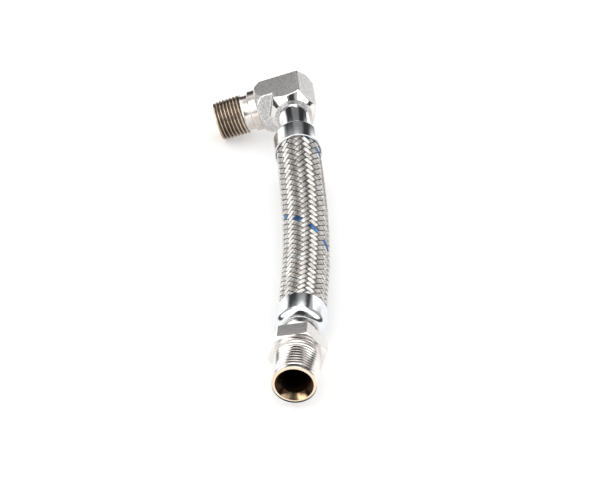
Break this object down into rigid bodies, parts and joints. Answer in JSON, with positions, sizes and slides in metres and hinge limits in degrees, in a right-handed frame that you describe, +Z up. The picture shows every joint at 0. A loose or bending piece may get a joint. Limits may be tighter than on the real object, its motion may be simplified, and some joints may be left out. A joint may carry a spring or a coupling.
{
  "type": "braided supply line",
  "caption": "Short flexible water supply hose with a wire-braid sleeve, crimped ferrules, a straight male fitting at one end and a male threaded elbow at the other.",
  "frame": {"origin": "centre of the straight fitting's mouth, on its axis", "axes": "+Y along the straight fitting's axis towards the hose and elbow, +Z up as it lies on a table, the elbow's thread points to -X and a little down"},
  "size_m": [0.071, 0.2428, 0.0346],
  "materials": {
    "plated_brass": "bright nickel-plated brass, bare brass at the machined mouth",
    "ferrule_steel": "polished drawn stainless steel",
    "hose_rubber": "matte black elastomer",
    "braid_steel": "bright stainless wire braid with one blue tracer yarn",
    "polished_stem": "polished nickel-plated brass",
    "forged_brass": "satin nickel plate over a grainy forging"
  },
  "bodies": {
    "root": {"front_fitting": "plated_brass", "front_ferrule": "ferrule_steel", "inner_hose": "hose_rubber", "inner_hose_rear": "hose_rubber", "wire_braid": "braid_steel", "rear_ferrule": "ferrule_steel", "rear_stem": "polished_stem", "elbow_body": "forged_brass"}
  },
  "joints": []
}
